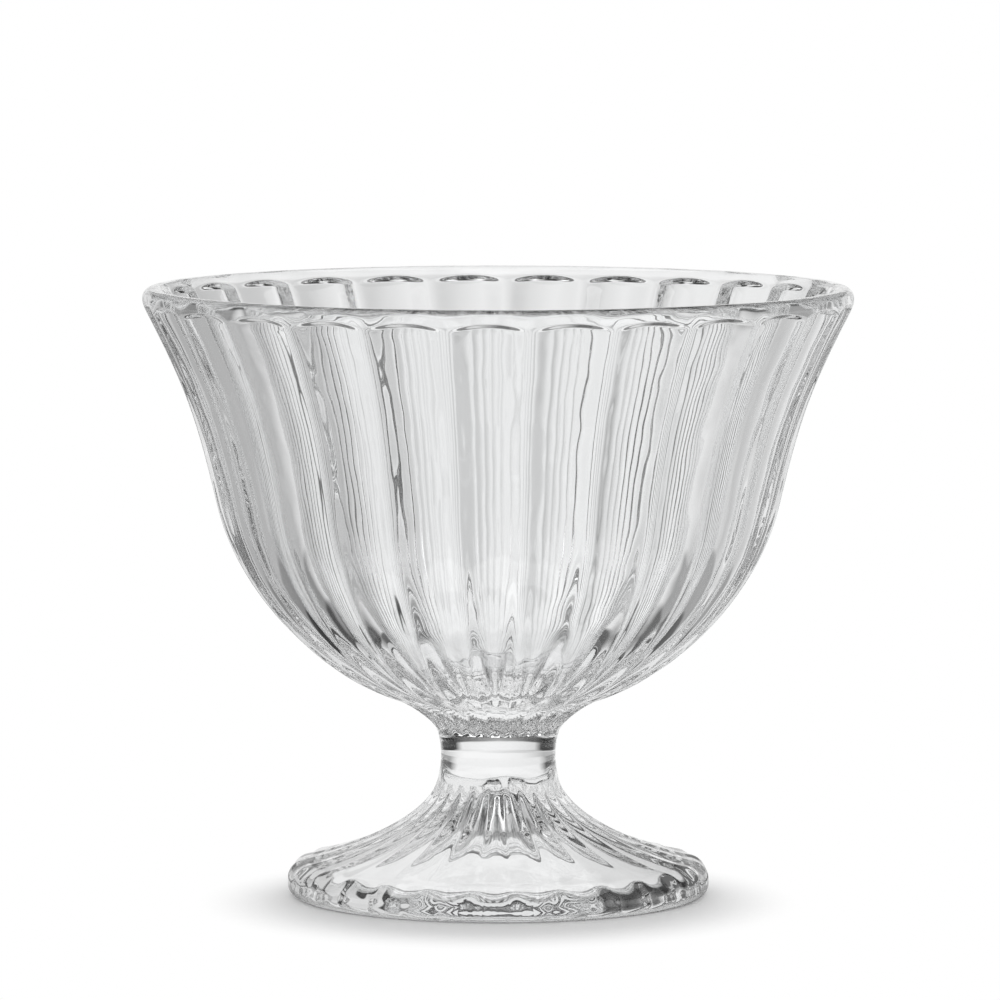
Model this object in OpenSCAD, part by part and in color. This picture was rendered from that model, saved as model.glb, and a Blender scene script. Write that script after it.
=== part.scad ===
// Footed dessert coupe in clear pressed glass.
// A fluted bowl and a fluted foot are hot-joined, face to face, to a short plain stem.
// Millimetres, Z up, standing on Z = 0 with the axis of the glass on Z. The front faces -Y.

/* [Overall] */
// Diameter over the ridges between the flutes, at the rim
rim_d = 120; // [110:1:132]
// Height from the table to the top of the lip
total_h = 103; // [97:1:112]
// Hollow flutes round the bowl, and as many round the foot
flute_count = 27; // [20:1:30]
// Turn of the first ridge from the back, seen from above
flute_turn = -1.5; // [-6:0.5:6]
// Depth of a flute below its ridges from the waist up, as a share of the radius there
flute_depth_share = 0.034; // [0.02:0.002:0.04]
// The same at the foot of the bowl, where the flutes are deepest
heel_flute_share = 0.051; // [0.034:0.001:0.056]
// The same on the upper slope of the foot
foot_flute_share = 0.046; // [0.034:0.001:0.052]
// Rounding of the ridges, as a share of half a flute
ridge_round_share = 0.2; // [0.1:0.05:0.4]
// Height over which the flutes grow out of the joints with the stem
flute_fade_h = 3; // [2:0.2:4]

/* [Bowl] */
// Diameter where the hollow neck turns into the round belly
heel_d = 34.6; // [32:0.2:38]
// Height of that turn above the stem
heel_rise = 5.5; // [4.6:0.1:6.4]
// Lean of the outside from upright at the heel
heel_lean = 72; // [66:1:76]
// Diameter where the belly turns into the flare
waist_d = 95; // [90:0.5:100]
// Height of that turn above the stem
waist_rise = 38.5; // [35:0.5:42]
// Lean of the outside from upright at the waist
waist_lean = 13; // [9:1:16]
// Lean of the outside from upright under the lip
flare_lean = 27; // [23:1:31]
// Height of the floor of the bowl above the stem, on the axis
floor_rise = 7.6; // [7:0.1:9]
// Wall at the waist, over a ridge
wall = 4; // [3.6:0.1:4.6]

/* [Lip] */
// Thickness of the lip, over a ridge
lip_t = 3.4; // [3.2:0.1:4]
// Height of the lip from where the flare ends
lip_h = 5; // [4.4:0.1:5.6]
// Reach of the lip outwards from where the flare ends
lip_reach = 1.17; // [0.95:0.02:1.35]
// Rounding of the lip outside
lip_out_r = 1.6; // [1.3:0.1:1.7]
// Rounding of the lip inside
lip_in_r = 1; // [0.8:0.1:1.1]
// Depth below the top of the lip at which the flutes begin to run out
run_out_below = 3; // [2.8:0.1:3.4]
// Height over which they run out
run_out_h = 0.9; // [0.7:0.05:1.1]
// Rise of the arch that ends each flute
run_out_arch = 0.8; // [0.5:0.1:1.1]
// Depth that is left of the flutes on the lip, as a share of their depth on the wall
lip_flute_share = 0.22; // [0.1:0.02:0.4]

/* [Stem] */
// Diameter of the joint faces at both ends of the stem
joint_d = 20.6; // [19:0.2:22]
// Diameter of the stem at its middle
stem_d = 19.4; // [18:0.2:20.4]
// Length of the stem between the joint faces
stem_h = 8.4; // [7:0.2:10]

/* [Foot] */
// Diameter of the plain ring round the foot
foot_d = 71.4; // [66:0.2:76]
// Height of the foot from the table to its joint face
foot_h = 19.4; // [18:0.2:21]
// Height of the widest line of the foot, at the top of the plain ring
ring_h = 2.7; // [2.2:0.1:3.2]
// Rounding from the ring up to the flutes
ring_top_r = 3.2; // [2.6:0.1:3.6]
// Rounding from the ring down to the table
ring_base_r = 1.8; // [1.2:0.1:2]
// Lean of the slope from upright where it reaches that rounding
slope_lean = 80; // [74:1:84]
// Depth that is left of the flutes at the ring, as a share of their depth on the slope
ring_flute_share = 0.5; // [0.3:0.05:0.8]
// Width of the flat ring on which the glass stands
stand_w = 1.9; // [1.5:0.1:2.4]
// Glass between the top of the hollow under the foot and the joint face
hollow_roof_t = 2.4; // [2.2:0.1:3.4]
// Rounding of the top of that hollow
hollow_top_r = 5; // [4.4:0.1:5.6]
// Lean of the hollow's side from upright, below that rounding
hollow_top_lean = 48; // [46:1:52]
// Lean of the hollow's side from upright, at the table
hollow_edge_lean = 40; // [38:1:44]

/* [Hidden] */
// Straight steps on each flute, and on each stretch of an outline
flute_facets = 6;
neck_steps = 5;
belly_steps = 8;
flare_steps = 6;
lip_steps = 10;
slope_steps = 9;
hollow_steps = 10;
inside_steps = 12;
round_steps = 4;
stem_steps = 10;
// Pull of each curve towards the direction of its ends, as shares of its chord
neck_pull_share = 0.2;
belly_pull_share = 0.33;
flare_pull_share = 0.42;
lip_pull_share = 0.36;
floor_pull_share = 0.41;
slope_pull_shares = [0.3, 0.2];
hollow_pull_shares = [0.22, 0.2];
// Segments of the round cutters
round_fn = 120;

rim_r = rim_d / 2;
heel_r = heel_d / 2;
waist_r = waist_d / 2;
joint_r = joint_d / 2;
stem_r = stem_d / 2;
foot_r = foot_d / 2;
hollow_r = foot_r - ring_base_r - stand_w;
hollow_h = foot_h - hollow_roof_t;
bowl_h = foot_h + stem_h;

// The cutter for the inside stands above the lip, and the one for the hollow below the table.
cut_over = lip_h;
cut_under = ring_h;

// The stem's side is one hollow arc between its two joint faces.
stem_sag = joint_r - stem_r;
stem_arc_r = (pow(stem_h / 2, 2) + pow(stem_sag, 2)) / (2 * stem_sag);
joint_lean = asin(stem_h / 2 / stem_arc_r);

// Direction on an outline, as [radius, height], that leans outwards from straight up.
function rising(lean) = [sin(lean), cos(lean)];

// Direction on an outline that leans outwards from straight down.
function falling(lean) = [sin(lean), -cos(lean)];

// Point at share t of the curve from a to b, leaving a towards da and reaching b along db.
function curve_point(a, da, b, db, pull_a, pull_b, t) =
    let (
        chord = norm(b - a),
        p = a + da * chord * pull_a,
        q = b - db * chord * pull_b,
        s = 1 - t
    )
    a * pow(s, 3) + p * 3 * pow(s, 2) * t + q * 3 * s * pow(t, 2) + b * pow(t, 3);

// Points of that curve, without its last one.
function curve(a, da, b, db, pull_a, pull_b, steps) =
    [for (i = [0 : steps - 1]) curve_point(a, da, b, db, pull_a, pull_b, i / steps)];

// Points of an arc about a centre, both ends included.
function arc(centre, r, from, to, steps) =
    [for (i = [0 : steps])
        let (angle = from + (to - from) * i / steps)
        centre + r * [cos(angle), sin(angle)]];

// Soft start from 0 to 1 as x goes from 0 to 1.
function ease(x) =
    let (c = min(1, max(0, x)))
    pow(c, 2) * (3 - 2 * c);

// Soft change from a to b as x goes from 0 to 1.
function blend(a, b, x) = a + (b - a) * ease(x);

// Depth of flutes of a given share at a point, growing with the distance from a joint face.
function flute_depth(point, joint_h, depth_share) =
    point[0] * depth_share * ease(abs(point[1] - joint_h) / flute_fade_h);

// Depth of the bowl's flutes, which get shallower up to the waist.
function bowl_depth(point) =
    let (up = (point[1] - bowl_h) / waist_rise)
    flute_depth(point, bowl_h, blend(heel_flute_share, flute_depth_share, up));

// Place across a flute: 0 on the rounded ridge at either side, 1 in the middle.
function hollow(across) =
    let (
        climb = 1 - abs(2 * across - 1),
        soft = norm([climb, ridge_round_share]) - ridge_round_share,
        down = soft / (norm([1, ridge_round_share]) - ridge_round_share)
    )
    down * (2 - down);

// Share of a flute's depth that is kept at a height: the flute ends in an arch under the lip.
function kept(z, down) =
    let (run_out = ease((z - total_h + run_out_below + run_out_arch * (1 - down)) / run_out_h))
    1 - (1 - lip_flute_share) * run_out;

// Ring of points round the axis: the radius falls by the depth in each flute.
function fluted_ring(r, z, depth) =
    [for (i = [0 : flute_count * flute_facets - 1])
        let (
            angle = 90 + flute_turn + 360 * i / (flute_count * flute_facets),
            down = hollow((i % flute_facets) / flute_facets),
            fluted_r = r - depth * down * kept(z, down)
        )
        [fluted_r * cos(angle), fluted_r * sin(angle), z]];

// Solid through a stack of fluted rings, each given as [radius, height, depth], lowest first.
module fluted_solid(rings) {
    n = flute_count * flute_facets;
    last = len(rings) - 1;
    points = concat(
        [for (ring = rings) each fluted_ring(ring[0], ring[1], ring[2])],
        [[0, 0, rings[0][1]], [0, 0, rings[last][1]]]
    );
    low_centre = len(points) - 2;
    high_centre = len(points) - 1;
    faces = concat(
        [for (k = [0 : last - 1], i = [0 : n - 1])
            [k * n + i, (k + 1) * n + i, (k + 1) * n + (i + 1) % n]],
        [for (k = [0 : last - 1], i = [0 : n - 1])
            [k * n + i, (k + 1) * n + (i + 1) % n, k * n + (i + 1) % n]],
        [for (i = [0 : n - 1]) [low_centre, i, (i + 1) % n]],
        [for (i = [0 : n - 1]) [high_centre, last * n + (i + 1) % n, last * n + i]]
    );
    polyhedron(points = points, faces = faces, convexity = 6);
}

// Turning points of the outside of the bowl.
bowl_start = [joint_r, bowl_h];
heel = [heel_r, bowl_h + heel_rise];
waist = [waist_r, bowl_h + waist_rise];
flare_end = [rim_r - lip_reach, total_h - lip_h];
widest = [rim_r, total_h - lip_out_r];

// Outside of the bowl over the ridges, from the stem to the widest line of the lip.
bowl_wall = concat(
    curve(bowl_start, rising(joint_lean), heel, rising(heel_lean),
        neck_pull_share, neck_pull_share, neck_steps),
    curve(heel, rising(heel_lean), waist, rising(waist_lean),
        belly_pull_share, belly_pull_share, belly_steps),
    curve(waist, rising(waist_lean), flare_end, rising(flare_lean),
        flare_pull_share, flare_pull_share, flare_steps),
    curve(flare_end, rising(flare_lean), widest, rising(0),
        lip_pull_share, lip_pull_share, lip_steps)
);

// The lip rounds over to its top, and the last of the flutes goes with it.
lip_round = arc(widest - [lip_out_r, 0], lip_out_r, 0, 90, round_steps);
bowl_rings = concat(
    [for (p = bowl_wall) [p[0], p[1], bowl_depth(p)]],
    [for (p = lip_round)
        [p[0], p[1], bowl_depth(p) * (1 - ease((p[1] - widest[1]) / lip_out_r))]]
);

// Inside of the bowl, smooth all round: a level floor, the belly, the flare and the lip.
lip_in_centre = [rim_r - lip_t + lip_in_r, total_h - lip_in_r];
inside_end = lip_in_centre + lip_in_r * [-cos(flare_lean), sin(flare_lean)];
inside_start = [0, bowl_h + floor_rise];
inside_waist = waist - [wall, 0];
bowl_inside = concat(
    curve(inside_start, rising(90), inside_waist, rising(waist_lean),
        floor_pull_share, floor_pull_share, inside_steps),
    curve(inside_waist, rising(waist_lean), inside_end, rising(flare_lean),
        flare_pull_share, flare_pull_share, flare_steps),
    arc(lip_in_centre, lip_in_r, 180 - flare_lean, 90, round_steps),
    [[lip_in_centre[0], total_h + cut_over], [0, total_h + cut_over]]
);

// Outside of the foot from its joint face down the slope, over the ring, to the table.
foot_start = [joint_r, foot_h];
ring_top_centre = [foot_r - ring_top_r, ring_h];
ring_base_centre = [foot_r - ring_base_r, ring_base_r];
slope_end = ring_top_centre + ring_top_r * [cos(slope_lean), sin(slope_lean)];
foot_slope = curve(foot_start, falling(joint_lean), slope_end, falling(slope_lean),
    slope_pull_shares[0], slope_pull_shares[1], slope_steps);
foot_round = arc(ring_top_centre, ring_top_r, slope_lean, 0, round_steps);
foot_base = arc(ring_base_centre, ring_base_r, 0, -90, round_steps);

// Depth of the foot's flutes, which get shallower towards the ring.
function foot_depth(point) =
    let (out = (point[0] - joint_r) / (slope_end[0] - joint_r))
    flute_depth(point, foot_h, foot_flute_share * blend(1, ring_flute_share, out));

// The flutes run out over the rounding, so the ring below it is plain.
foot_rings_down = concat(
    [for (p = foot_slope) [p[0], p[1], foot_depth(p)]],
    [for (p = foot_round)
        [p[0], p[1], foot_depth(p) * ease((p[1] - ring_h) / (slope_end[1] - ring_h))]],
    [for (p = foot_base) [p[0], p[1], 0]]
);
foot_rings = [for (i = [len(foot_rings_down) - 1 : -1 : 0]) foot_rings_down[i]];

// Hollow under the foot: a rounded top, then a side that follows the slope to the stand.
hollow_top = arc([0, hollow_h - hollow_top_r], hollow_top_r, 90, hollow_top_lean, round_steps);
hollow_turn = hollow_top[round_steps];
hollow_edge = [hollow_r, 0];
foot_hollow = concat(
    [for (i = [0 : round_steps - 1]) hollow_top[i]],
    curve(hollow_turn, falling(hollow_top_lean), hollow_edge, falling(hollow_edge_lean),
        hollow_pull_shares[0], hollow_pull_shares[1], hollow_steps),
    [hollow_edge, [hollow_r, -cut_under], [0, -cut_under]]
);

// Side of the stem from its lower joint face to its upper one.
stem_arc_centre = [stem_r + stem_arc_r, foot_h + stem_h / 2];
stem_side = arc(stem_arc_centre, stem_arc_r, 180 + joint_lean, 180 - joint_lean, stem_steps);

// Fluted bowl with a smooth inside, standing on the stem's upper joint face.
module bowl() {
    color("lightcyan")
    difference() {
        fluted_solid(bowl_rings);
        rotate_extrude($fn = round_fn)
            polygon(bowl_inside);
    }
}

// Plain waisted stem between the two joint faces.
module stem() {
    color("powderblue")
    rotate_extrude($fn = round_fn)
        polygon(concat([[0, foot_h]], stem_side, [[0, bowl_h]]));
}

// Spreading fluted foot with a plain ring at its edge and a hollow that follows its slope.
module foot() {
    color("lightblue")
    difference() {
        fluted_solid(foot_rings);
        rotate_extrude($fn = round_fn)
            polygon(foot_hollow);
    }
}

bowl();
stem();
foot();
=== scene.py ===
"""Footed dessert coupe in clear pressed glass, dressed on its CAD frame.

A fluted bowl and a fluted foot stand on a short plain stem. One Geometry Nodes tree turns the three
pieces from outlines that follow the same dimensions as the solids, so they keep the frame's place
and size. All lengths are metres, Z is up and the front of the glass faces -Y.
"""

from __future__ import annotations

import logging
import math
from dataclasses import dataclass
from enum import Enum

import bpy
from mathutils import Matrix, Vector

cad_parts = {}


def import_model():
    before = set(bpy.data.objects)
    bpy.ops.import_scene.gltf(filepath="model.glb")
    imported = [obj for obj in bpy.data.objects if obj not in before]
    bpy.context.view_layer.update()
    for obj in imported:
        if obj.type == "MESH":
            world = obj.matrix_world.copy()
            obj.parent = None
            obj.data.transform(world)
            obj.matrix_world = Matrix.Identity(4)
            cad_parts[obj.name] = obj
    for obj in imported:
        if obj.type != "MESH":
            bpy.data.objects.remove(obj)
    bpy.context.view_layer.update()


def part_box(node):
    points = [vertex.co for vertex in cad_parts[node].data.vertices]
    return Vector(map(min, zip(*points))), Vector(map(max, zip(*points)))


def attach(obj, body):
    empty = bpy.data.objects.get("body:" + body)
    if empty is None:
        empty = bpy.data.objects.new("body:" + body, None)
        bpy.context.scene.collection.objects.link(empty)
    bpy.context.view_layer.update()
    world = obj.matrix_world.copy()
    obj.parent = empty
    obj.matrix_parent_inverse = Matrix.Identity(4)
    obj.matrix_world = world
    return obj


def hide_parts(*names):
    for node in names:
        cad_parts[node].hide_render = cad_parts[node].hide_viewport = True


log = logging.getLogger("coupe")

BODY = "root"
# Straight steps across one flute
FLUTE_FACETS = 28
# Points that lie this close become one, which closes the turned grid
MERGE_DISTANCE = 0.000002
# Room that the dressed bowl keeps inside the box of its solid
CLEARANCE = 0.00002


class Mark(Enum):
    """Attributes that an outline hands on to the turned glass."""

    DEPTH = "flute_depth"
    LEFT = "flute_left"
    RISE = "run_out_rise"
    JOINT = "joint_face"


class Wiring:
    """Lays nodes into one tree and joins them."""

    def __init__(self, tree: bpy.types.NodeTree) -> None:
        """Keeps the tree's nodes and links at hand."""
        self.nodes, self.links = tree.nodes, tree.links

    def add(self, kind: str, inputs: dict | None = None, **settings: object) -> bpy.types.Node:
        """Adds a node.

        Args:
            kind: the node's type.
            inputs: values or sockets for its inputs, by name or number.
            settings: the node's own properties.

        Returns:
            The new node.
        """
        node = self.nodes.new(kind)
        for name, value in settings.items():
            setattr(node, name, value)
        for key, value in (inputs or {}).items():
            self.feed(node, key, value)
        return node

    def feed(self, node: bpy.types.Node, key: str | int, value: object) -> None:
        """Gives an input its value or its link.

        Args:
            node: the node to feed.
            key: the input's name or number.
            value: a plain value, or the socket to link from.
        """
        if isinstance(value, bpy.types.NodeSocket):
            self.links.new(value, node.inputs[key])
        else:
            node.inputs[key].default_value = value

    def math(self, operation: str, *values: float | bpy.types.NodeSocket) -> bpy.types.NodeSocket:
        """Adds a Math node.

        Args:
            operation: the node's operation.
            values: numbers or sockets for its inputs, in order.

        Returns:
            The result's socket.
        """
        return self.add("ShaderNodeMath", dict(enumerate(values)), operation=operation).outputs[0]


@dataclass(frozen=True)
class Station:
    """One point of an outline, with the depth of the flutes there.

    Above the start of their run-out the flutes keep only the depth that is left.
    """

    radius: float
    height: float
    depth: float = 0.0
    left: float = 0.0
    rise: float = -1.0
    joint: bool = False


@dataclass(frozen=True)
class Flutes:
    """Hollow flutes with rounded ridges between them, all round a piece.

    Their depth is a share of the radius: most at the heel of the bowl, less from its waist up.
    """

    count: int = 27
    turn: float = math.radians(-1.5)
    depth_share: float = 0.034
    heel_share: float = 0.051
    foot_share: float = 0.046
    ring_share: float = 0.5
    fade_height: float = 0.003
    ridge_rounding: float = 0.2
    run_out_height: float = 0.0009
    run_out_arch: float = 0.0008

    def depth(self, point: Vector, joint_height: float, share: float) -> float:
        """Depth of the flutes at a point of a wall.

        Args:
            point: point of the outline, as (radius, height).
            joint_height: height of the joint with the stem, where the flutes begin.
            share: depth as a share of the radius.

        Returns:
            The depth below the ridges.
        """
        return point.x * share * ease(abs(point.y - joint_height) / self.fade_height)


def ease(share: float) -> float:
    """Soft start and end between 0 and 1.

    Args:
        share: position; values outside 0 to 1 are held.

    Returns:
        The eased position.
    """
    held = min(1.0, max(0.0, share))
    return held * held * (3.0 - 2.0 * held)


def blend(start: float, end: float, share: float) -> float:
    """Soft change from a start value to an end value, as the share goes from 0 to 1."""
    return start + (end - start) * ease(share)


def rising(lean: float) -> Vector:
    """Direction (radius, height) that leans outwards from straight up, in degrees."""
    return Vector((math.sin(math.radians(lean)), math.cos(math.radians(lean))))


def falling(lean: float) -> Vector:
    """Direction (radius, height) that leans outwards from straight down, in degrees."""
    return Vector((math.sin(math.radians(lean)), -math.cos(math.radians(lean))))


def curve(
    start: Vector, leave: Vector, end: Vector, reach: Vector, pulls: tuple[float, float], steps: int
) -> list[Vector]:
    """Smooth stretch of an outline, without its last point.

    Args:
        start: first point, as (radius, height).
        leave: direction at the first point.
        end: last point.
        reach: direction at the last point.
        pulls: pull along both directions, as shares of the chord.
        steps: number of points.

    Returns:
        The points in order.
    """
    chord = (end - start).length
    first = start + leave * chord * pulls[0]
    second = end - reach * chord * pulls[1]
    points = []
    for index in range(steps):
        t = index / steps
        s = 1.0 - t
        points.append(start * s**3 + first * (3 * s * s * t) + second * (3 * s * t * t) + end * t**3)
    return points


def arc(centre: Vector, radius: float, begin: float, finish: float, steps: int) -> list[Vector]:
    """Arc of an outline, with both its ends.

    Args:
        centre: centre, as (radius, height).
        radius: radius of the arc.
        begin: first angle in degrees.
        finish: last angle in degrees.
        steps: number of steps.

    Returns:
        The points in order.
    """
    angles = [math.radians(begin + (finish - begin) * index / steps) for index in range(steps + 1)]
    return [centre + radius * Vector((math.cos(angle), math.sin(angle))) for angle in angles]


def joint_disc(radius: float, height: float) -> list[Station]:
    """Stations of a flat joint, from the axis to its edge."""
    return [Station(radius * share, height, joint=True) for share in (0.0, 0.5, 1.0)]


@dataclass(frozen=True)
class PressedSkin:
    """Shader group for the skin of pressed glass: waves from the mould and a trace of haze."""

    name: str = "Pressed skin"
    detail: float = 1.5
    fineness: float = 0.45

    def group(self) -> bpy.types.NodeTree:
        """Builds the group once.

        Returns:
            The group, with a bump height and a roughness as outputs.
        """
        found = bpy.data.node_groups.get(self.name)
        if found is not None:
            return found
        tree = bpy.data.node_groups.new(self.name, "ShaderNodeTree")
        for label in ("Wave Size", "Stretch", "Haze"):
            tree.interface.new_socket(label, in_out="INPUT", socket_type="NodeSocketFloat")
        for label in ("Height", "Roughness"):
            tree.interface.new_socket(label, in_out="OUTPUT", socket_type="NodeSocketFloat")
        plan = Wiring(tree)
        given = plan.add("NodeGroupInput")
        place = plan.add("ShaderNodeTexCoord")
        wide = plan.math("DIVIDE", 1.0, given.outputs["Wave Size"])
        tall = plan.math("DIVIDE", wide, given.outputs["Stretch"])
        scale = plan.add("ShaderNodeCombineXYZ", {"X": wide, "Y": wide, "Z": tall})
        spread = plan.add(
            "ShaderNodeVectorMath",
            {0: place.outputs["Object"], 1: scale.outputs["Vector"]},
            operation="MULTIPLY",
        )
        waves = plan.add(
            "ShaderNodeTexNoise",
            {
                "Vector": spread.outputs["Vector"],
                "Scale": 1.0,
                "Detail": self.detail,
                "Roughness": self.fineness,
            },
        )
        haze = plan.math("MULTIPLY", waves.outputs["Fac"], given.outputs["Haze"])
        plan.add("NodeGroupOutput", {"Height": waves.outputs["Fac"], "Roughness": haze})
        return tree


@dataclass(frozen=True)
class GlassFinish:
    """Clear soda-lime glass as it leaves the mould and the fire."""

    name: str
    wave_size: float
    wave_height: float
    stretch: float
    haze: float
    tint: tuple[float, float, float] = (0.985, 0.99, 0.992)
    index: float = 1.52

    def material(self) -> bpy.types.Material:
        """Builds the material.

        Returns:
            A material with one fully transmissive shader.
        """
        material = bpy.data.materials.new(self.name)
        material.use_nodes = True
        plan = Wiring(material.node_tree)
        skin = plan.add(
            "ShaderNodeGroup",
            {"Wave Size": self.wave_size, "Stretch": self.stretch, "Haze": self.haze},
            node_tree=PressedSkin().group(),
        )
        bump = plan.add("ShaderNodeBump", {"Height": skin.outputs["Height"], "Distance": self.wave_height})
        shader = plan.nodes["Principled BSDF"]
        plan.feed(shader, "Base Color", (*self.tint, 1.0))
        plan.feed(shader, "Metallic", 0.0)
        plan.feed(shader, "IOR", self.index)
        plan.feed(shader, "Transmission Weight", 1.0)
        plan.feed(shader, "Roughness", skin.outputs["Roughness"])
        plan.feed(shader, "Normal", bump.outputs["Normal"])
        return material


@dataclass(frozen=True)
class JointFinish:
    """Hot joint between two pieces: nothing shows where the glass has run together."""

    name: str = "hot_joint"

    def material(self) -> bpy.types.Material:
        """Builds the material once.

        Returns:
            A material that lets everything through.
        """
        found = bpy.data.materials.get(self.name)
        if found is not None:
            return found
        material = bpy.data.materials.new(self.name)
        material.use_nodes = True
        shader = material.node_tree.nodes["Principled BSDF"]
        shader.inputs["Base Color"].default_value = (1.0, 1.0, 1.0, 1.0)
        shader.inputs["Alpha"].default_value = 0.0
        return material


class FlutedLathe:
    """Geometry Nodes tree that turns an outline round the axis and presses flutes into it."""

    NAME = "Fluted lathe"
    SHARP_EDGE = math.radians(50.0)
    # Keeps rounding errors from putting a ridge at the end of the flute before it
    SEAM_SHIFT = 0.00001
    # A face is a joint where the mark of its corners is over this
    JOINT_MARK = 0.9

    def __init__(self, flutes: Flutes) -> None:
        """Builds the tree.

        Args:
            flutes: the flutes that the tree presses into every outline.
        """
        self.flutes = flutes
        self.tree = bpy.data.node_groups.new(self.NAME, "GeometryNodeTree")
        self.inputs: dict[str, str] = {}
        face = self.tree.interface
        face.new_socket("Outline", in_out="INPUT", socket_type="NodeSocketGeometry")
        for label, kind in (
            ("Flutes", "NodeSocketInt"),
            ("Facets", "NodeSocketInt"),
            ("Turn", "NodeSocketFloat"),
            ("Ridge Rounding", "NodeSocketFloat"),
            ("Arch", "NodeSocketFloat"),
            ("Run-out", "NodeSocketFloat"),
            ("Glass", "NodeSocketMaterial"),
            ("Joint", "NodeSocketMaterial"),
        ):
            self.inputs[label] = face.new_socket(label, in_out="INPUT", socket_type=kind).identifier
        face.new_socket("Mesh", in_out="OUTPUT", socket_type="NodeSocketGeometry")
        self.plan = Wiring(self.tree)
        self.given = self.plan.add("NodeGroupInput")
        self._lay()

    def _sampled(self, row: bpy.types.NodeSocket, mark: Mark) -> bpy.types.NodeSocket:
        """Reads a mark of the outline at a row of the turned mesh.

        Args:
            row: the row's number.
            mark: the mark to read.

        Returns:
            The value's socket.
        """
        read = self.plan.add("GeometryNodeInputNamedAttribute", {"Name": mark.value}, data_type="FLOAT")
        sample = self.plan.add(
            "GeometryNodeSampleIndex",
            {"Geometry": self.given.outputs["Outline"], "Value": read.outputs["Attribute"], "Index": row},
            data_type="FLOAT",
            domain="POINT",
        )
        return sample.outputs["Value"]

    def _hollow(self, round_share: bpy.types.NodeSocket) -> bpy.types.NodeSocket:
        """Works out how far a point lies down in its flute.

        Args:
            round_share: place round the axis, from 0 to 1.

        Returns:
            A socket that is 0 on a ridge, which is rounded, and 1 in the middle of a flute.
        """
        plan, given = self.plan, self.given.outputs
        along = plan.math("MULTIPLY_ADD", round_share, given["Flutes"], self.SEAM_SHIFT)
        across = plan.math("FRACT", along)
        aside = plan.math("ABSOLUTE", plan.math("MULTIPLY_ADD", across, 2.0, -1.0))
        climb = plan.math("SUBTRACT", 1.0, aside)
        blunt = given["Ridge Rounding"]
        square = plan.math("MULTIPLY", blunt, blunt)
        rounded = plan.math("SQRT", plan.math("MULTIPLY_ADD", climb, climb, square))
        soft = plan.math("SUBTRACT", rounded, blunt)
        full = plan.math("SUBTRACT", plan.math("SQRT", plan.math("ADD", square, 1.0)), blunt)
        down = plan.math("DIVIDE", soft, full)
        return plan.math("MULTIPLY", down, plan.math("SUBTRACT", 2.0, down))

    def _placed(self, row: bpy.types.NodeSocket, round_share: bpy.types.NodeSocket) -> bpy.types.NodeSocket:
        """Works out where a point of the turned mesh lies.

        Args:
            row: number of the point's station on the outline.
            round_share: place round the axis, from 0 to 1.

        Returns:
            The place's socket.
        """
        plan, given = self.plan, self.given.outputs
        profile = plan.add("GeometryNodeInputPosition")
        point = plan.add(
            "GeometryNodeSampleIndex",
            {"Geometry": given["Outline"], "Value": profile.outputs["Position"], "Index": row},
            data_type="FLOAT_VECTOR",
            domain="POINT",
        )
        station = plan.add("ShaderNodeSeparateXYZ", {"Vector": point.outputs["Value"]})
        hollow = self._hollow(round_share)
        beside = plan.math("SUBTRACT", 1.0, hollow)
        rise = plan.math("MULTIPLY_ADD", given["Arch"], beside, self._sampled(row, Mark.RISE))
        run_out = plan.add(
            "ShaderNodeMapRange",
            {"Value": rise, "From Max": given["Run-out"]},
            interpolation_type="SMOOTHSTEP",
        ).outputs["Result"]
        deep = self._sampled(row, Mark.DEPTH)
        lost = plan.math("SUBTRACT", deep, self._sampled(row, Mark.LEFT))
        depth = plan.math("SUBTRACT", deep, plan.math("MULTIPLY", lost, run_out))
        radius = plan.math("SUBTRACT", station.outputs["X"], plan.math("MULTIPLY", depth, hollow))
        from_back = plan.math("MULTIPLY_ADD", round_share, math.tau, math.pi / 2)
        angle = plan.math("ADD", from_back, given["Turn"])
        wrapped = plan.add(
            "ShaderNodeCombineXYZ",
            {
                "X": plan.math("MULTIPLY", radius, plan.math("COSINE", angle)),
                "Y": plan.math("MULTIPLY", radius, plan.math("SINE", angle)),
                "Z": station.outputs["Z"],
            },
        )
        return wrapped.outputs["Vector"]

    def _marked(self, mesh: bpy.types.NodeSocket, row: bpy.types.NodeSocket) -> bpy.types.NodeSocket:
        """Hands the mark of the joint faces on to the mesh.

        Args:
            mesh: the mesh to mark.
            row: number of each point's station on the outline.

        Returns:
            The marked mesh.
        """
        stored = self.plan.add(
            "GeometryNodeStoreNamedAttribute",
            {"Geometry": mesh, "Name": Mark.JOINT.value},
            data_type="FLOAT",
            domain="POINT",
        )
        self.plan.feed(stored, "Value", self._sampled(row, Mark.JOINT))
        return stored.outputs["Geometry"]

    def _shaded(self, mesh: bpy.types.NodeSocket) -> bpy.types.NodeSocket:
        """Shades the mesh smooth, apart from its sharp edges.

        Args:
            mesh: the closed mesh.

        Returns:
            The shaded mesh.
        """
        plan = self.plan
        smooth = plan.add("GeometryNodeSetShadeSmooth", {"Geometry": mesh}, domain="FACE")
        bend = plan.add("GeometryNodeInputMeshEdgeAngle")
        sharp = plan.math("GREATER_THAN", bend.outputs["Unsigned Angle"], self.SHARP_EDGE)
        edged = plan.add(
            "GeometryNodeSetShadeSmooth",
            {"Geometry": smooth.outputs["Geometry"], "Selection": sharp, "Shade Smooth": False},
            domain="EDGE",
        )
        return edged.outputs["Geometry"]

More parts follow.
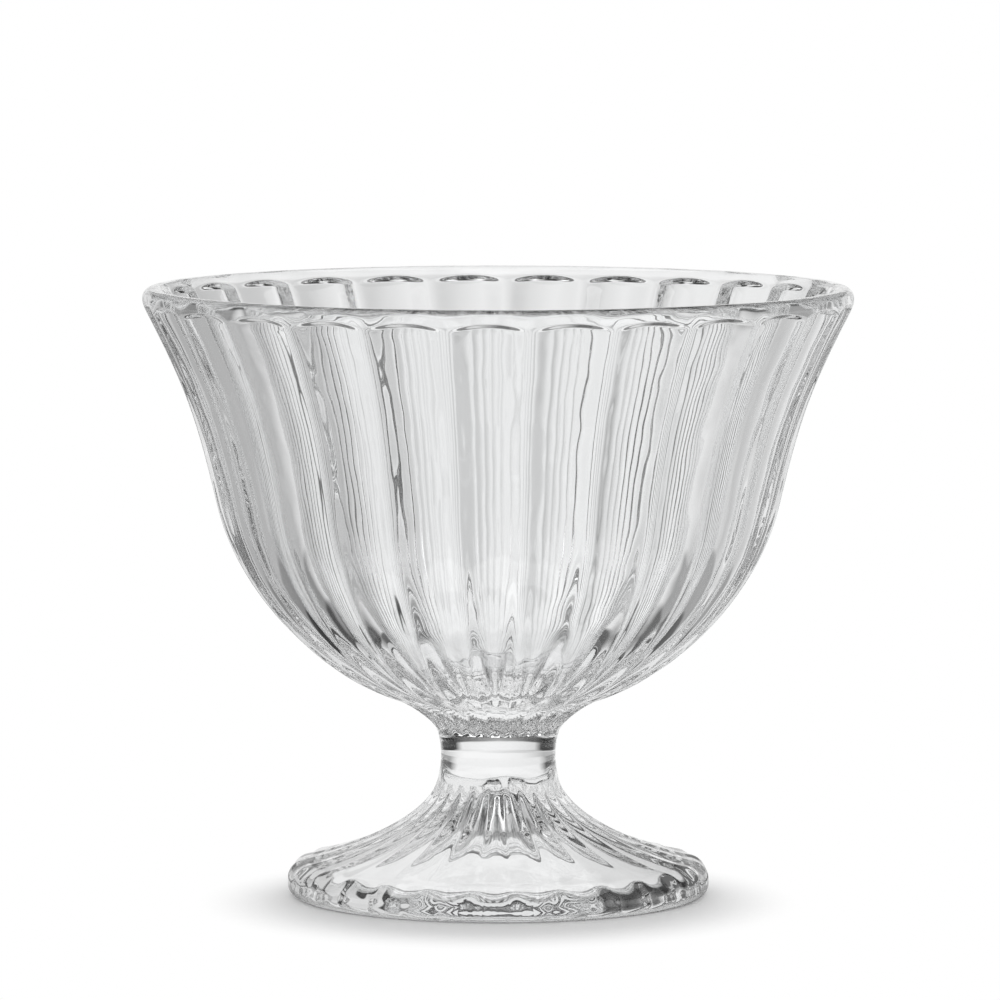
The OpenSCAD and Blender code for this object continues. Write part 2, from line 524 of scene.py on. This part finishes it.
    def _dressed(self, mesh: bpy.types.NodeSocket) -> bpy.types.NodeSocket:
        """Gives the mesh its glass, and its joint faces their own finish.

        Args:
            mesh: the shaded mesh.

        Returns:
            The dressed mesh.
        """
        plan, given = self.plan, self.given.outputs
        glass = plan.add("GeometryNodeSetMaterial", {"Geometry": mesh, "Material": given["Glass"]})
        flat = plan.add("GeometryNodeInputNamedAttribute", {"Name": Mark.JOINT.value}, data_type="FLOAT")
        whole = plan.math("GREATER_THAN", flat.outputs["Attribute"], self.JOINT_MARK)
        joint = plan.add(
            "GeometryNodeSetMaterial",
            {"Geometry": glass.outputs["Geometry"], "Selection": whole, "Material": given["Joint"]},
        )
        return joint.outputs["Geometry"]

    def _lay(self) -> None:
        """Lays out the tree: a grid of rows and columns is wrapped round the axis and closed."""
        plan, given = self.plan, self.given.outputs
        size = plan.add("GeometryNodeAttributeDomainSize", {"Geometry": given["Outline"]})
        rows = size.outputs["Point Count"]
        columns = plan.math("MULTIPLY_ADD", given["Flutes"], given["Facets"], 1.0)
        grid = plan.add(
            "GeometryNodeMeshGrid",
            {"Size X": 1.0, "Size Y": 1.0, "Vertices X": rows, "Vertices Y": columns},
        )
        place = plan.add("GeometryNodeInputPosition")
        split = plan.add("ShaderNodeSeparateXYZ", {"Vector": place.outputs["Position"]})
        round_share = plan.math("ADD", split.outputs["Y"], 0.5)
        along = plan.math("ADD", split.outputs["X"], 0.5)
        row = plan.math("ROUND", plan.math("MULTIPLY", along, plan.math("SUBTRACT", rows, 1.0)))
        marked = self._marked(grid.outputs["Mesh"], row)
        placed = self._placed(row, round_share)
        moved = plan.add("GeometryNodeSetPosition", {"Geometry": marked, "Position": placed})
        closed = plan.add(
            "GeometryNodeMergeByDistance",
            {"Geometry": moved.outputs["Geometry"], "Distance": MERGE_DISTANCE},
        )
        outward = plan.add("GeometryNodeFlipFaces", {"Mesh": closed.outputs["Geometry"]})
        shaded = self._shaded(outward.outputs["Mesh"])
        real = plan.add("GeometryNodeRealizeInstances", {"Geometry": shaded})
        plan.add("NodeGroupOutput", {"Mesh": self._dressed(real.outputs["Geometry"])})

    def turned(self, name: str, outline: list[Station], glass: GlassFinish) -> bpy.types.Object:
        """Turns an outline into a closed glass piece.

        Args:
            name: the piece's name.
            outline: stations from the axis below, over the outside, to the axis above.
            glass: the piece's finish.

        Returns:
            An object with a plain mesh, in place.
        """
        seed = bpy.data.meshes.new(f"{name}_outline")
        links = [(index, index + 1) for index in range(len(outline) - 1)]
        seed.from_pydata([(s.radius, 0.0, s.height) for s in outline], links, [])
        for mark, values in (
            (Mark.DEPTH, [s.depth for s in outline]),
            (Mark.LEFT, [s.left for s in outline]),
            (Mark.RISE, [s.rise for s in outline]),
            (Mark.JOINT, [float(s.joint) for s in outline]),
        ):
            seed.attributes.new(mark.value, "FLOAT", "POINT").data.foreach_set("value", values)
        maker = bpy.data.objects.new(f"{name}_maker", seed)
        bpy.context.scene.collection.objects.link(maker)
        modifier = maker.modifiers.new(self.NAME, "NODES")
        modifier.node_group = self.tree
        for label, value in (
            ("Flutes", self.flutes.count),
            ("Facets", FLUTE_FACETS),
            ("Turn", self.flutes.turn),
            ("Ridge Rounding", self.flutes.ridge_rounding),
            ("Arch", self.flutes.run_out_arch),
            ("Run-out", self.flutes.run_out_height),
            ("Glass", glass.material()),
            ("Joint", JointFinish().material()),
        ):
            modifier[self.inputs[label]] = value
        bpy.context.view_layer.update()
        shape = maker.evaluated_get(bpy.context.evaluated_depsgraph_get())
        mesh = bpy.data.meshes.new_from_object(shape)
        mesh.name = name
        maker.modifiers.remove(modifier)
        bpy.data.objects.remove(maker)
        bpy.data.meshes.remove(seed)
        piece = bpy.data.objects.new(name, mesh)
        bpy.context.scene.collection.objects.link(piece)
        return piece


def seat(piece: bpy.types.Object, node: str) -> None:
    """Puts a piece on the frame in place of its solid.

    Args:
        piece: the finished piece.
        node: the solid that it stands for.
    """
    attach(piece, BODY)
    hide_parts(node)
    log.info("%s stands for %s: %d faces", piece.name, node, len(piece.data.polygons))


@dataclass
class Stem:
    """Short plain stem, waisted by one hollow arc."""

    base: float
    top: float
    joint_radius: float
    waist_radius: float = 0.0097
    steps: int = 16

    def arc_radius(self) -> float:
        """Radius of the hollow arc."""
        half, sag = (self.top - self.base) / 2, self.joint_radius - self.waist_radius
        return (half * half + sag * sag) / (2 * sag)

    def joint_lean(self) -> float:
        """Lean of the side where it meets the bowl and the foot, in degrees."""
        return math.degrees(math.asin((self.top - self.base) / 2 / self.arc_radius()))

    def outline(self) -> list[Station]:
        """Stations from the lower joint to the upper one."""
        radius, lean = self.arc_radius(), self.joint_lean()
        centre = Vector((self.waist_radius + radius, (self.base + self.top) / 2))
        side = arc(centre, radius, 180.0 + lean, 180.0 - lean, self.steps)
        middle = [Station(point.x, point.y) for point in side[1:-1]]
        upper = joint_disc(self.joint_radius, self.top)[::-1]
        return [*joint_disc(self.joint_radius, self.base), *middle, *upper]

    def dress(self) -> GlassFinish:
        """Finish of the stem: clear, with hardly a wave."""
        return GlassFinish("stem_glass", wave_size=0.006, wave_height=0.00008, stretch=1.5, haze=0.004)

    def build(self, lathe: FlutedLathe) -> None:
        """Makes the stem and seats it on the frame."""
        seat(lathe.turned("glass_stem", self.outline(), self.dress()), "stem")


@dataclass
class Bowl:
    """Flared, fluted bowl with a smooth inside and a rounded lip."""

    base: float
    top: float
    rim_radius: float
    joint_radius: float
    joint_lean: float
    heel_radius: float = 0.0173
    heel_rise: float = 0.0055
    heel_lean: float = 72.0
    waist_radius: float = 0.0475
    waist_rise: float = 0.0385
    waist_lean: float = 13.0
    flare_lean: float = 27.0
    floor_rise: float = 0.0076
    wall: float = 0.0040
    lip_thickness: float = 0.0034
    lip_height: float = 0.0050
    lip_reach: float = 0.00117
    run_out_below: float = 0.0030
    lip_out_radius: float = 0.0016
    lip_in_radius: float = 0.0010
    lip_flute_share: float = 0.22
    neck_pull: float = 0.2
    belly_pull: float = 0.33
    flare_pull: float = 0.42
    lip_pull: float = 0.36
    floor_pull: float = 0.41
    neck_steps: int = 12
    belly_steps: int = 22
    flare_steps: int = 13
    lip_steps: int = 26
    lip_out_steps: int = 8
    lip_in_steps: int = 6
    floor_steps: int = 16
    inside_steps: int = 10

    def outside(self, flutes: Flutes) -> list[Station]:
        """Stations of the outside, from the joint up to the top of the lip.

        Args:
            flutes: the flutes on the outside.

        Returns:
            The stations in order, without the joint.
        """
        flare_end = Vector((self.rim_radius - self.lip_reach, self.top - self.lip_height))
        widest = Vector((self.rim_radius, self.top - self.lip_out_radius))
        start = Vector((self.joint_radius, self.base))
        heel = Vector((self.heel_radius, self.base + self.heel_rise))
        waist = Vector((self.waist_radius, self.base + self.waist_rise))
        neck, belly, flare = (self.neck_pull,) * 2, (self.belly_pull,) * 2, (self.flare_pull,) * 2
        leans = (self.joint_lean, self.heel_lean, self.waist_lean, self.flare_lean, 0.0)
        joint, low, middle, high, upright = (rising(lean) for lean in leans)
        wall = [
            *curve(start, joint, heel, low, neck, self.neck_steps)[1:],
            *curve(heel, low, waist, middle, belly, self.belly_steps),
            *curve(waist, middle, flare_end, high, flare, self.flare_steps),
            *curve(flare_end, high, widest, upright, (self.lip_pull,) * 2, self.lip_steps),
        ]
        centre = widest - Vector((self.lip_out_radius, 0.0))
        stations = []
        for point in (*wall, *arc(centre, self.lip_out_radius, 0.0, 90.0, self.lip_out_steps)):
            up = (point.y - self.base) / self.waist_rise
            deep = flutes.depth(point, self.base, blend(flutes.heel_share, flutes.depth_share, up))
            over = ease((point.y - widest.y) / self.lip_out_radius)
            left = deep * self.lip_flute_share * (1.0 - over)
            rise = point.y - (self.top - self.run_out_below)
            stations.append(Station(point.x, point.y, deep, left, rise))
        return stations

    def inside(self) -> list[Station]:
        """Stations of the smooth inside, from the top of the lip down to the floor on the axis."""
        inner_radius = self.rim_radius - self.lip_thickness
        centre = Vector((inner_radius + self.lip_in_radius, self.top - self.lip_in_radius))
        rounding = arc(centre, self.lip_in_radius, 180.0 - self.flare_lean, 90.0, self.lip_in_steps)
        floor = Vector((0.0, self.base + self.floor_rise))
        waist = Vector((self.waist_radius - self.wall, self.base + self.waist_rise))
        upright, flared = rising(self.waist_lean), rising(self.flare_lean)
        points = [
            *curve(floor, rising(90.0), waist, upright, (self.floor_pull,) * 2, self.floor_steps),
            *curve(waist, upright, rounding[0], flared, (self.flare_pull,) * 2, self.inside_steps),
            *rounding,
        ]
        return [Station(point.x, point.y) for point in reversed(points)]

    def outline(self, flutes: Flutes) -> list[Station]:
        """Stations from the joint, up the outside and down the inside, for given flutes."""
        return [*joint_disc(self.joint_radius, self.base), *self.outside(flutes), *self.inside()]

    def dress(self) -> GlassFinish:
        """Finish of the bowl: clear, with tall waves that make the lines in its wall waver."""
        return GlassFinish("bowl_glass", wave_size=0.008, wave_height=0.0003, stretch=2.0, haze=0.004)

    def build(self, lathe: FlutedLathe) -> None:
        """Makes the bowl and seats it on the frame."""
        seat(lathe.turned("glass_bowl", self.outline(lathe.flutes), self.dress()), "bowl")


@dataclass
class Foot:
    """Spreading fluted foot with a plain ring round its edge and a hollow that follows its slope."""

    base: float
    top: float
    joint_radius: float
    joint_lean: float
    radius: float = 0.0357
    ring_height: float = 0.0027
    ring_top_radius: float = 0.0032
    ring_base_radius: float = 0.0018
    slope_lean: float = 80.0
    slope_pulls: tuple[float, float] = (0.3, 0.2)
    stand_width: float = 0.0019
    hollow_roof: float = 0.0024
    hollow_top_radius: float = 0.005
    hollow_top_lean: float = 48.0
    hollow_edge_lean: float = 40.0
    hollow_pulls: tuple[float, float] = (0.22, 0.2)
    slope_steps: int = 26
    ring_top_steps: int = 10
    ring_base_steps: int = 6
    hollow_top_steps: int = 8
    hollow_steps: int = 18

    def hollow(self) -> list[Vector]:
        """Points of the hollow below, from its rounded top on the axis to the stand."""
        round_radius, lean = self.hollow_top_radius, self.hollow_top_lean
        centre = Vector((0.0, self.top - self.hollow_roof - round_radius))
        cap = arc(centre, round_radius, 90.0, lean, self.hollow_top_steps)
        edge = Vector((self.radius - self.ring_base_radius - self.stand_width, self.base))
        leave, reach = falling(lean), falling(self.hollow_edge_lean)
        side = curve(cap[-1], leave, edge, reach, self.hollow_pulls, self.hollow_steps)
        return [*cap[:-1], *side, edge]

    def outline(self, flutes: Flutes) -> list[Station]:
        """Stations from the hollow below, round the ring and up the slope to the joint.

        Args:
            flutes: the flutes on the slope.

        Returns:
            The stations in order.
        """
        over = Vector((self.radius - self.ring_top_radius, self.base + self.ring_height))
        under = Vector((self.radius - self.ring_base_radius, self.base + self.ring_base_radius))
        shoulder = arc(over, self.ring_top_radius, 0.0, self.slope_lean, self.ring_top_steps)
        start = Vector((self.joint_radius, self.top))
        lower, upper = falling(self.slope_lean), falling(self.joint_lean)
        slope = curve(start, upper, shoulder[-1], lower, self.slope_pulls, self.slope_steps)[:0:-1]
        heel = arc(under, self.ring_base_radius, -90.0, 0.0, self.ring_base_steps)
        below = self.hollow()
        stations = [Station(0.0, below[0].y), *(Station(point.x, point.y) for point in (*below[1:], *heel))]
        for point in (*shoulder, *slope):
            out = (point.x - self.joint_radius) / (shoulder[-1].x - self.joint_radius)
            share = flutes.foot_share * blend(1.0, flutes.ring_share, out)
            grown = ease((point.y - over.y) / (shoulder[-1].y - over.y))
            stations.append(Station(point.x, point.y, flutes.depth(point, self.top, share) * grown))
        return [*stations, *joint_disc(self.joint_radius, self.top)[::-1]]

    def dress(self) -> GlassFinish:
        """Finish of the foot: clear, with small waves."""
        return GlassFinish("foot_glass", wave_size=0.006, wave_height=0.0001, stretch=1.0, haze=0.006)

    def build(self, lathe: FlutedLathe) -> None:
        """Makes the foot and seats it on the frame."""
        seat(lathe.turned("glass_foot", self.outline(lathe.flutes), self.dress()), "foot")


@dataclass(frozen=True)
class Ring:
    """Grey levels that the glass sees in one ring of the floor, where they are painted light and shade, or
    in one band of the sky.

    It begins at a distance in metres or a height in degrees and blends in over a width. The levels
    go round the compass in degrees, from -180 to 180 with 0 behind the glass and 90 at the right.
    """

    name: str
    begin: float
    blend: float
    levels: tuple[tuple[float, float], ...]


# Painted light and shade on the floor, which only the glass sees: a painted contact shadow round the foot,
# painted pools of light near it and dark painted sectors to the sides.
PAINTED_FLOOR_LIGHT = (
    Ring("Under the foot", 0.0, 0.0, ((-180.0, 0.90), (180.0, 0.90))),
    # Painted contact shadow where the ring of the foot stands, darkest at the right.
    Ring(
        "Painted contact shadow",
        0.0316,
        0.0006,
        ((-180.0, 0.40), (-70.0, 0.70), (0.0, 0.50), (70.0, 0.15), (110.0, 0.15), (180.0, 0.40)),
    ),
    # Painted shade beside the foot, dark at both sides and light behind it.
    Ring(
        "Beside the foot",
        0.0342,
        0.0010,
        (
            *((-180.0, 0.65), (-130.0, 0.10), (-95.0, 0.10), (-60.0, 0.85), (0.0, 0.97)),
            *((60.0, 0.85), (95.0, 0.10), (130.0, 0.10), (180.0, 0.65)),
        ),
    ),
    # Painted shade in dark sectors to the left and right of the near floor.
    Ring(
        "Near floor",
        0.0440,
        0.0040,
        (
            *((-180.0, 0.90), (-105.0, 0.70), (-82.0, 0.05), (-42.0, 0.05), (-30.0, 0.88), (0.0, 0.95)),
            *((30.0, 0.92), (42.0, 0.12), (82.0, 0.12), (105.0, 0.80), (180.0, 0.90)),
        ),
    ),
    # Painted pools of light round the foot, with painted shade at the sides.
    Ring(
        "Painted light pool",
        0.0760,
        0.0100,
        (
            *((-180.0, 0.92), (-100.0, 0.85), (-82.0, 0.25), (-45.0, 0.25), (-32.0, 0.80), (0.0, 0.90)),
            *((32.0, 0.90), (45.0, 0.35), (82.0, 0.35), (100.0, 0.88), (180.0, 0.92)),
        ),
    ),
    Ring(
        "Wide painted light pool",
        0.150,
        0.030,
        (
            *((-180.0, 0.92), (-95.0, 0.82), (-75.0, 0.45), (-40.0, 0.45), (-15.0, 0.85), (0.0, 0.93)),
            *((25.0, 0.95), (45.0, 0.72), (72.0, 0.55), (95.0, 0.85), (180.0, 0.92)),
        ),
    ),
    # Painted shade further out: darker sectors at the sides of the outer floor and nearly black ones on the
    # far floor.
    Ring(
        "Outer floor",
        0.400,
        0.100,
        (
            *((-180.0, 0.92), (-80.0, 0.90), (-55.0, 0.55), (-15.0, 0.66), (15.0, 0.92)),
            *((45.0, 0.85), (60.0, 0.60), (80.0, 0.90), (180.0, 0.92)),
        ),
    ),
    Ring(
        "Far floor",
        0.850,
        0.100,
        (
            *((-180.0, 0.92), (-90.0, 0.90), (-75.0, 0.05), (-40.0, 0.05), (-30.0, 0.50), (-8.0, 0.80)),
            *((8.0, 0.92), (30.0, 0.75), (40.0, 0.05), (75.0, 0.05), (90.0, 0.90), (180.0, 0.92)),
        ),
    ),
)
SKY_BANDS = (
    Ring(
        "Backdrop",
        0.0,
        0.0,
        (
            *((-180.0, 0.88), (-90.0, 0.88), (-75.0, 0.04), (-36.0, 0.04), (-28.0, 0.70), (-8.0, 0.90)),
            *((8.0, 0.93), (28.0, 0.85), (36.0, 0.04), (75.0, 0.04), (90.0, 0.88), (180.0, 0.88)),
        ),
    ),
    Ring(
        "Upper backdrop",
        7.0,
        2.0,
        (
            *((-180.0, 0.03), (-40.0, 0.03), (-22.0, 0.10), (0.0, 0.35)),
            *((22.0, 0.15), (40.0, 0.03), (180.0, 0.03)),
        ),
    ),
    Ring(
        "Left panel",
        19.0,
        3.0,
        (
            *((-180.0, 0.02), (-120.0, 0.08), (-80.0, 0.25), (-45.0, 0.60), (-8.0, 0.70)),
            *((6.0, 0.06), (34.0, 0.03), (80.0, 0.17), (120.0, 0.03), (180.0, 0.02)),
        ),
    ),
    Ring("Dark gap", 39.0, 3.0, ((-180.0, 0.10), (-22.0, 0.02), (22.0, 0.02), (180.0, 0.10))),
    Ring(
        "Softbox",
        52.5,
        3.0,
        ((-180.0, 1.50), (-65.0, 1.50), (-35.0, 0.80), (35.0, 0.80), (65.0, 1.50), (180.0, 1.50)),
    ),
    Ring("Zenith", 69.0, 3.0, ((-180.0, 0.03), (180.0, 0.03))),
)


@dataclass
class Studio:
    """Pale floor with painted light and shade for the glass, soft light and a bright backdrop with dark
    sides that draw the edges of the glass.
    """

    camera_distance: float = 1.250
    camera_height: float = 0.18402
    camera_offset: float = 0.00029
    camera_dip: float = 5.351
    lens: float = 267.55
    sensor: float = 36.0
    floor_size: float = 8.0
    paper: float = 0.83
    paper_roughness: float = 0.8
    shadow_reach: tuple[float, float] = (0.0465, 0.050)
    shadow_shift: float = -0.010
    shadow_fade: tuple[float, float] = (0.66, 1.1)
    daylight: float = 1.0
    lamp_size: tuple[float, float] = (1.2, 1.0)
    lamp_power: float = 2.0
    lamp_place: tuple[float, float, float] = (0.1, 0.3, 1.2)
    glass_bounces: int = 32
    mirror_bounces: int = 16
    painted_floor_light: tuple[Ring, ...] = PAINTED_FLOOR_LIGHT
    sky_bands: tuple[Ring, ...] = SKY_BANDS

    def camera(self) -> None:
        """Places the camera."""
        data = bpy.data.cameras.new("camera")
        data.lens = self.lens
        data.sensor_width = self.sensor
        data.clip_end = 2 * self.floor_size
        view = bpy.data.objects.new("camera", data)
        view.location = (self.camera_offset, -self.camera_distance, self.camera_height)
        view.rotation_euler = (math.radians(90.0 - self.camera_dip), 0.0, 0.0)
        bpy.context.scene.collection.objects.link(view)
        bpy.context.scene.camera = view

    def _round(self, name: str, levels: tuple[tuple[float, float], ...]) -> bpy.types.NodeTree:
        """Builds a group that holds grey levels round the compass.

        Args:
            name: the group's name.
            levels: compass angles in degrees, from -180 to 180 with 0 behind the glass, with their levels.

        Returns:
            The group, from a direction to a grey level.
        """
        tree = bpy.data.node_groups.new(name, "ShaderNodeTree")
        tree.interface.new_socket("Direction", in_out="INPUT", socket_type="NodeSocketVector")
        tree.interface.new_socket("Level", in_out="OUTPUT", socket_type="NodeSocketFloat")
        plan = Wiring(tree)
        given = plan.add("NodeGroupInput")
        split = plan.add("ShaderNodeSeparateXYZ", {"Vector": given.outputs["Direction"]})
        angle = plan.math("ARCTAN2", split.outputs["X"], split.outputs["Y"])
        share = plan.math("MULTIPLY_ADD", angle, 1.0 / math.tau, 0.5)
        ramp = plan.add("ShaderNodeValToRGB", {"Fac": share})
        elements = ramp.color_ramp.elements
        while len(elements) < len(levels):
            elements.new(0.5)
        for element, (place, level) in zip(elements, levels):
            element.position = (place + 180.0) / 360.0
            element.color = (level, level, level, 1.0)
        grey = plan.add("ShaderNodeRGBToBW", {"Color": ramp.outputs["Color"]})
        plan.add("NodeGroupOutput", {"Level": grey.outputs["Val"]})
        return tree

    def _layered(
        self,
        plan: Wiring,
        rings: tuple[Ring, ...],
        direction: bpy.types.NodeSocket,
        measure: bpy.types.NodeSocket,
    ) -> bpy.types.NodeSocket:
        """Lays rings of grey levels over each other, each from where it begins.

        Args:
            plan: wiring of the floor's material or of the world.
            rings: the rings in order, the first one from the start.
            direction: direction or place that is seen.
            measure: distance or height, in the measure that the rings begin at.

        Returns:
            The grey level that is seen.
        """
        level: bpy.types.NodeSocket | None = None
        for ring in rings:
            group = self._round(ring.name, ring.levels)
            own = plan.add("ShaderNodeGroup", {"Direction": direction}, node_tree=group).outputs["Level"]
            if level is None:
                level = own
                continue
            beyond = plan.add(
                "ShaderNodeMapRange",
                {"Value": measure, "From Min": ring.begin, "From Max": ring.begin + ring.blend},
                interpolation_type="SMOOTHSTEP",
            ).outputs["Result"]
            level = plan.add("ShaderNodeMix", {"Factor": beyond, "A": level, "B": own}).outputs["Result"]
        return level

    def floor_material_with_painted_light(self) -> bpy.types.Material:
        """Builds the floor's material: pale paper in the shadow of the foot, plain white further out.

        The glass sees rings of painted light and shade on the floor round itself: a painted contact shadow,
        painted pools of light and dark painted sectors.

        Returns:
            The material.
        """
        material = bpy.data.materials.new("pale_floor_with_painted_light")
        material.use_nodes = True
        plan = Wiring(material.node_tree)
        paper = plan.nodes["Principled BSDF"]
        plan.feed(paper, "Base Color", (self.paper, self.paper, self.paper, 1.0))
        plan.feed(paper, "Roughness", self.paper_roughness)
        plan.feed(paper, "Specular IOR Level", 0.0)
        place = plan.add("ShaderNodeTexCoord").outputs["Object"]
        near = plan.add("ShaderNodeMapping", {"Vector": place})
        near.vector_type = "TEXTURE"
        near.inputs["Location"].default_value = (0.0, self.shadow_shift, 0.0)
        near.inputs["Scale"].default_value = (*self.shadow_reach, 1.0)
        reach = plan.add("ShaderNodeVectorMath", {0: near.outputs["Vector"]}, operation="LENGTH")
        fade_begin, fade_end = self.shadow_fade
        away = plan.add(
            "ShaderNodeMapRange",
            {"Value": reach.outputs["Value"], "From Min": fade_begin, "From Max": fade_end},
            interpolation_type="SMOOTHSTEP",
        )
        path = plan.add("ShaderNodeLightPath").outputs
        camera = path["Is Camera Ray"]
        glass = plan.math("MAXIMUM", path["Is Transmission Ray"], path["Is Glossy Ray"])
        apart = plan.add("ShaderNodeVectorMath", {0: place}, operation="LENGTH").outputs["Value"]
        # Painted light and shade from the rings, which only glass rays see; camera rays see plain white.
        level = self._layered(plan, self.painted_floor_light, place, apart)
        shown = plan.math("MAXIMUM", level, camera)
        painted_glow = plan.add("ShaderNodeEmission", {"Color": shown})
        share = plan.math("MAXIMUM", glass, plan.math("MULTIPLY", away.outputs["Result"], camera))
        mix = plan.add(
            "ShaderNodeMixShader", {0: share, 1: paper.outputs["BSDF"], 2: painted_glow.outputs["Emission"]}
        )
        plan.feed(plan.nodes["Material Output"], "Surface", mix.outputs["Shader"])
        return material

    def floor(self) -> None:
        """Lays the floor under the glass."""
        half = self.floor_size / 2
        corners = [(-half, -half, 0.0), (half, -half, 0.0), (half, half, 0.0), (-half, half, 0.0)]
        mesh = bpy.data.meshes.new("floor")
        mesh.from_pydata(corners, [], [(0, 1, 2, 3)])
        mesh.materials.append(self.floor_material_with_painted_light())
        floor = bpy.data.objects.new("floor", mesh)
        bpy.context.scene.collection.objects.link(floor)

    def surround(self) -> None:
        """Sets the world: plain white to the camera, even light on the floor, the studio to the glass."""
        world = bpy.data.worlds.new("surround")
        world.use_nodes = True
        bpy.context.scene.world = world
        plan = Wiring(world.node_tree)
        plan.nodes.clear()
        white = (1.0, 1.0, 1.0, 1.0)
        place = plan.add("ShaderNodeTexCoord").outputs["Generated"]
        up = plan.add("ShaderNodeSeparateXYZ", {"Vector": place}).outputs["Z"]
        height = plan.math("MULTIPLY", plan.math("ARCSINE", up), 180.0 / math.pi)
        level = self._layered(plan, self.sky_bands, place, height)
        studio = plan.add("ShaderNodeBackground", {"Color": level})
        even = plan.add("ShaderNodeBackground", {"Color": white, "Strength": self.daylight})
        plain = plan.add("ShaderNodeBackground", {"Color": white})
        path = plan.add("ShaderNodeLightPath").outputs
        glass = plan.math("MAXIMUM", path["Is Transmission Ray"], path["Is Glossy Ray"])
        lit = plan.add("ShaderNodeMixShader", {0: glass, 1: even.outputs[0], 2: studio.outputs[0]})
        camera = path["Is Camera Ray"]
        shown = plan.add("ShaderNodeMixShader", {0: camera, 1: lit.outputs[0], 2: plain.outputs[0]})
        plan.add("ShaderNodeOutputWorld", {"Surface": shown.outputs[0]})

    def lamp(self) -> None:
        """Hangs one wide soft lamp over the floor, out of sight of the glass."""
        data = bpy.data.lights.new("softbox", "AREA")
        data.shape = "RECTANGLE"
        data.size, data.size_y = self.lamp_size
        data.energy = self.lamp_power
        lamp = bpy.data.objects.new("softbox", data)
        lamp.location = self.lamp_place
        lamp.visible_transmission = False
        lamp.visible_glossy = False
        bpy.context.scene.collection.objects.link(lamp)

    def build(self) -> None:
        """Sets up the studio and lets light pass through many walls of glass."""
        scene = bpy.context.scene
        scene.view_settings.view_transform = "Standard"
        scene.cycles.max_bounces = self.glass_bounces
        scene.cycles.transmission_bounces = self.glass_bounces
        scene.cycles.glossy_bounces = self.mirror_bounces
        scene.cycles.transparent_max_bounces = self.glass_bounces
        self.surround()
        self.floor()
        self.lamp()
        self.camera()


def main() -> None:
    """Builds the coupe on its frame and the studio round it."""
    logging.basicConfig(level=logging.INFO, format="%(name)s: %(message)s")
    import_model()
    bowl_low, bowl_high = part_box("bowl")
    foot_low, foot_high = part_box("foot")
    stem_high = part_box("stem")[1]
    lathe = FlutedLathe(Flutes())
    stem = Stem(base=foot_high[2], top=bowl_low[2], joint_radius=stem_high[0])
    joint = {"joint_radius": stem.joint_radius, "joint_lean": stem.joint_lean()}
    Foot(base=foot_low[2], top=foot_high[2], **joint).build(lathe)
    stem.build(lathe)
    rim_radius = max(abs(side) for side in (*bowl_low[:2], *bowl_high[:2])) - CLEARANCE
    Bowl(base=bowl_low[2], top=bowl_high[2], rim_radius=rim_radius, **joint).build(lathe)
    Studio().build()


if __name__ == "__main__":
    main()
